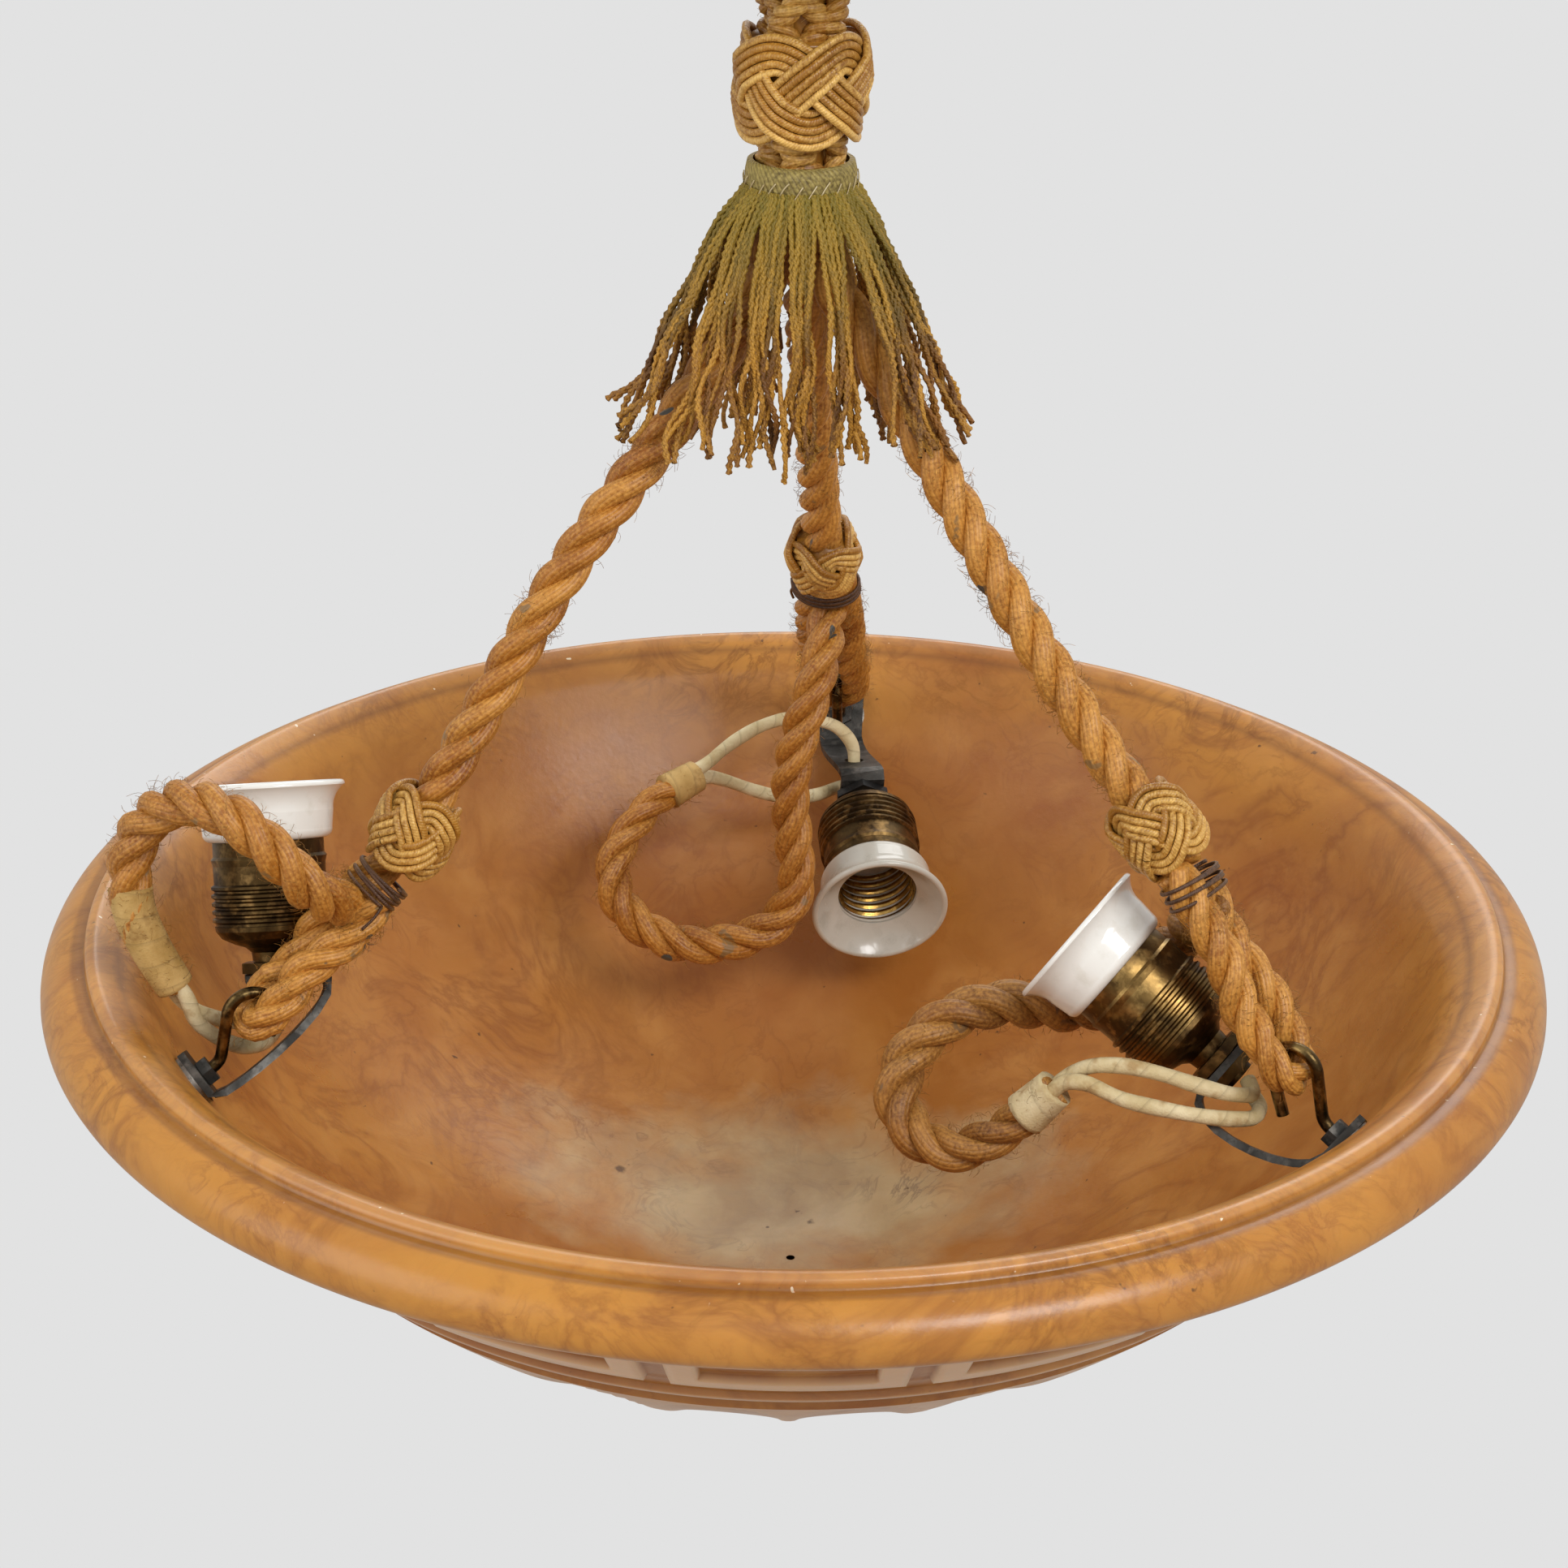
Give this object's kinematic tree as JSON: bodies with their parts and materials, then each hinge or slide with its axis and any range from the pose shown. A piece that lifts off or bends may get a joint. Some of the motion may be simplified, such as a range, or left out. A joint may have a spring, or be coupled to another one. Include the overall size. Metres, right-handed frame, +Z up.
{
  "type": "bowl pendant light",
  "caption": "Carved alabaster bowl pendant on gold silk ropes, with brass lampholders on steel straps inside and a ceiling canopy above.",
  "frame": {"origin": "centre of the ceiling plate's upper face, on the axis of the bowl", "axes": "+Z up to the ceiling, -Z down along the rope to the bowl; -Y faces the pictured side, +X to its right"},
  "size_m": [0.48, 0.48, 0.5565],
  "materials": {
    "alabaster": "polished translucent banded alabaster",
    "steel_hook": "bright zinc plated",
    "steel_strap": "dark grey, flat bar, worn edges",
    "black_nut": "black satin",
    "rope_silk": "gold twisted silk rope",
    "knot_cord": "gold gimp cord, silky",
    "fringe_silk": "brown gold twisted silk",
    "lashing_thread": "dark waxed thread",
    "brass_aged": "aged, golden on the edges",
    "brass_bright": "polished",
    "porcelain_white": "white glazed",
    "porcelain_inner": "unglazed off white",
    "cloth_tape": "off white and tan cloth tape",
    "flex_cloth": "brown and gold cloth covered twisted flex",
    "gloss_block": "ivory moulded block"
  },
  "bodies": {
    "ceiling": {"ceiling_plate": "steel_strap", "ceiling_hook": "brass_aged", "hook_nut": "steel_hook", "terminal_block": "gloss_block"},
    "canopy": {"canopy": "brass_aged", "canopy_screws": "brass_aged"},
    "ring": {"suspension_ring": "brass_aged"},
    "pendant": {"cup_eye": "brass_aged", "rope_cup": "brass_aged", "braided_rope": "rope_silk", "top_knot": "knot_cord", "fringe": "fringe_silk", "bowl": "alabaster", "hook_bolts": "brass_bright", "wall_washers": "steel_hook", "wall_nuts": "steel_hook", "splice_tapes": "cloth_tape", "rope_leg_left": "rope_silk", "knot_left": "knot_cord", "rope_loop_left": "rope_silk", "lashing_left": "lashing_thread", "flex_loop_left": "flex_cloth", "rope_leg_right": "rope_silk", "knot_right": "knot_cord", "rope_loop_right": "rope_silk", "lashing_right": "lashing_thread", "flex_loop_right": "flex_cloth", "rope_leg_back": "rope_silk", "knot_back": "knot_cord", "rope_loop_back": "rope_silk", "lashing_back": "lashing_thread", "flex_loop_back": "flex_cloth"},
    "arm_left": {"strap_left": "steel_strap", "nipple_left": "brass_aged", "nipple_nuts_left": "black_nut", "lamp_cap_left": "brass_aged", "lamp_shell_left": "brass_aged", "porcelain_core_left": "porcelain_inner", "screw_shell_left": "brass_bright", "flex_wires_left": "cloth_tape"},
    "shade_ring_left": {"porcelain_ring_left": "porcelain_white"},
    "arm_right": {"strap_right": "steel_strap", "nipple_right": "brass_aged", "nipple_nuts_right": "black_nut", "lamp_cap_right": "brass_aged", "lamp_shell_right": "brass_aged", "porcelain_core_right": "porcelain_inner", "screw_shell_right": "brass_bright", "flex_wires_right": "cloth_tape"},
    "shade_ring_right": {"porcelain_ring_right": "porcelain_white"},
    "arm_back": {"strap_back": "steel_strap", "nipple_back": "brass_aged", "nipple_nuts_back": "black_nut", "lamp_cap_back": "brass_aged", "lamp_shell_back": "brass_aged", "porcelain_core_back": "porcelain_inner", "screw_shell_back": "brass_bright", "flex_wires_back": "cloth_tape"},
    "shade_ring_back": {"porcelain_ring_back": "porcelain_white"}
  },
  "joints": [
    {"name": "canopy_slide", "type": "slide", "parent": "ceiling", "child": "canopy", "axis": [0, 0, -1], "range_m": [0, 0.06]},
    {"name": "ring_swing", "type": "hinge", "parent": "ceiling", "child": "ring", "pos_m": [0, 0, -0.036], "axis": [1, 0, 0], "range_deg": [-12, 12]},
    {"name": "pendant_swing", "type": "hinge", "parent": "ring", "child": "pendant", "pos_m": [0, 0, -0.05545], "axis": [0, 1, 0], "range_deg": [-12, 12]},
    {"name": "arm_swing_left", "type": "hinge", "parent": "pendant", "child": "arm_left", "pos_m": [-0.18172, -0.08474, -0.4302], "axis": [0.7833, 0.3653, 0.503], "range_deg": [-6, 6], "deforming": ["flex_loop_left", "flex_wires_left", "splice_tapes"]},
    {"name": "shade_ring_turn_left", "type": "hinge", "parent": "arm_left", "child": "shade_ring_left", "pos_m": [-0.16342, -0.03212, -0.36422], "axis": [-0.064, 0.4021, 0.9133], "range_deg": [0, 350]},
    {"name": "arm_swing_right", "type": "hinge", "parent": "pendant", "child": "arm_right", "pos_m": [0.16425, -0.11501, -0.4302], "axis": [-0.708, 0.4957, 0.503], "range_deg": [-6, 6], "deforming": ["flex_loop_right", "flex_wires_right", "splice_tapes"]},
    {"name": "shade_ring_turn_right", "type": "hinge", "parent": "arm_right", "child": "shade_ring_right", "pos_m": [0.09182, -0.06659, -0.39193], "axis": [-0.7577, 0.3548, 0.5478], "range_deg": [0, 350]},
    {"name": "arm_swing_back", "type": "hinge", "parent": "pendant", "child": "arm_back", "pos_m": [0.01748, 0.19975, -0.4302], "axis": [-0.0753, -0.861, 0.503], "range_deg": [-5, 5], "deforming": ["flex_loop_back", "flex_wires_back", "splice_tapes"]},
    {"name": "shade_ring_turn_back", "type": "hinge", "parent": "arm_back", "child": "shade_ring_back", "pos_m": [0.02994, 0.10877, -0.4609], "axis": [0.107, -0.9407, -0.3219], "range_deg": [0, 350]}
  ]
}
